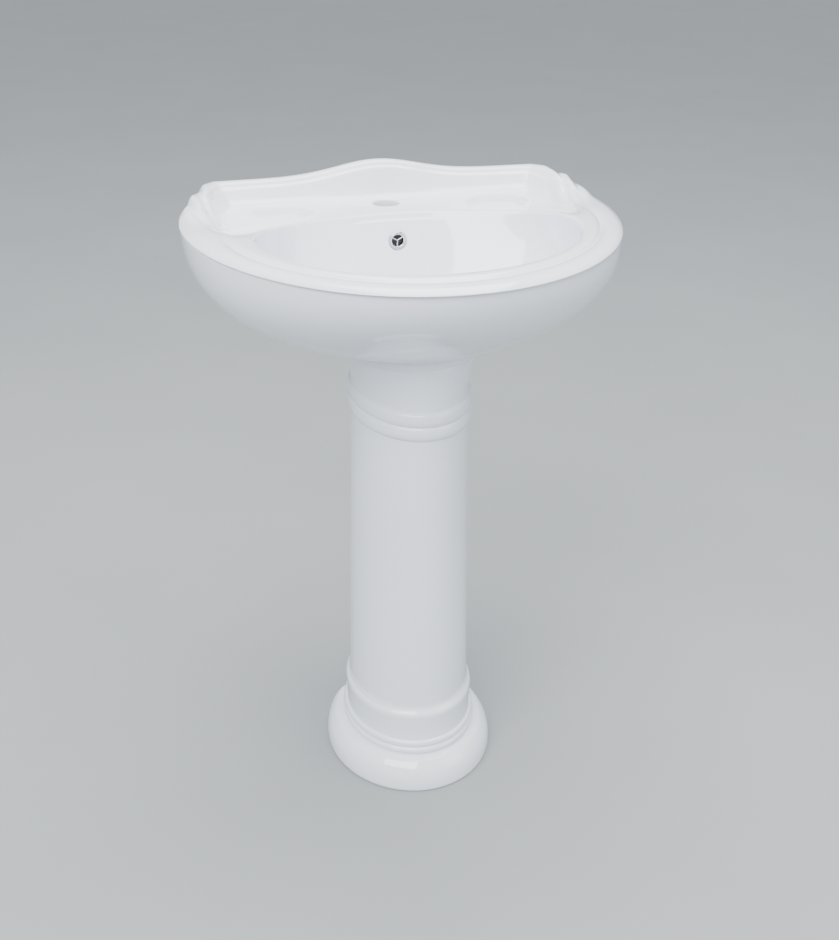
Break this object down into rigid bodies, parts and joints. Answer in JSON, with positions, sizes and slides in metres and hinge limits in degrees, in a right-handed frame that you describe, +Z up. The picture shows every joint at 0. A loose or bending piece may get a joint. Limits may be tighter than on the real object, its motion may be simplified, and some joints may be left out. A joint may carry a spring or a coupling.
{
  "type": "pedestal sink",
  "caption": "Classic glazed pedestal sink: an oval-fronted basin with a humped upstand and tap deck on a moulded column, with pop-up waste, bottle trap and wall fixings.",
  "frame": {"origin": "centre of the bounding box on the floor, wall fixings included", "axes": "+X to the right as the user faces the sink; +Y towards the wall; +Z up"},
  "size_m": [0.562, 0.51, 0.837],
  "materials": {
    "white_glaze": "gloss",
    "chrome_trim": "polished",
    "black_rubber": "matt",
    "cast_brass": "machined",
    "stainless": "brushed",
    "white_plastic": "moulded",
    "zinc_steel": "zinc plated",
    "grey_nylon": "moulded"
  },
  "bodies": {
    "sink": {"basin_rim": "white_glaze", "basin_deck": "white_glaze", "basin_skirt": "white_glaze", "basin_bowl": "white_glaze", "pedestal": "white_glaze", "overflow_grille": "chrome_trim", "waste_body": "chrome_trim", "waste_gasket": "black_rubber", "waste_washer": "black_rubber", "waste_backnut": "cast_brass", "plug_cartridge": "cast_brass", "trap_inlet_washer": "black_rubber", "trap_inlet_tube": "white_plastic", "trap_inlet_nut": "white_plastic", "trap_body": "white_plastic", "trap_top_washer": "black_rubber", "trap_top_nut": "white_plastic", "trap_outlet_pipe": "white_plastic", "trap_outlet_washer": "black_rubber", "trap_outlet_nut": "white_plastic", "wall_flange": "chrome_trim", "wall_studs": "zinc_steel", "wall_plugs": "grey_nylon", "stud_sleeves": "grey_nylon", "stud_washers": "zinc_steel", "stud_nuts": "zinc_steel"},
    "plug": {"plug_cap": "chrome_trim", "plug_seal": "black_rubber", "plug_stem": "stainless", "plug_spring": "stainless"},
    "cup_thread": {"trap_cup_seal": "black_rubber"},
    "trap_cup": {"trap_cup": "white_plastic"}
  },
  "joints": [
    {"name": "plug_press", "type": "slide", "parent": "sink", "child": "plug", "axis": [0, 0, 1], "range_m": [-0.009, 0], "stiffness_N_per_m": 350, "springref_m": 0.009},
    {"name": "cup_lower", "type": "slide", "parent": "sink", "child": "cup_thread", "axis": [0, 0, 1], "range_m": [-0.01205, 0]},
    {"name": "cup_unscrew", "type": "hinge", "parent": "cup_thread", "child": "trap_cup", "pos_m": [0, -0.005, 0.4], "axis": [0, 0, -1], "range_deg": [0, 1440]}
  ],
  "couplings": [
    {"joint": "cup_lower", "follows": "cup_unscrew", "m_per_rad": -0.000477}
  ]
}
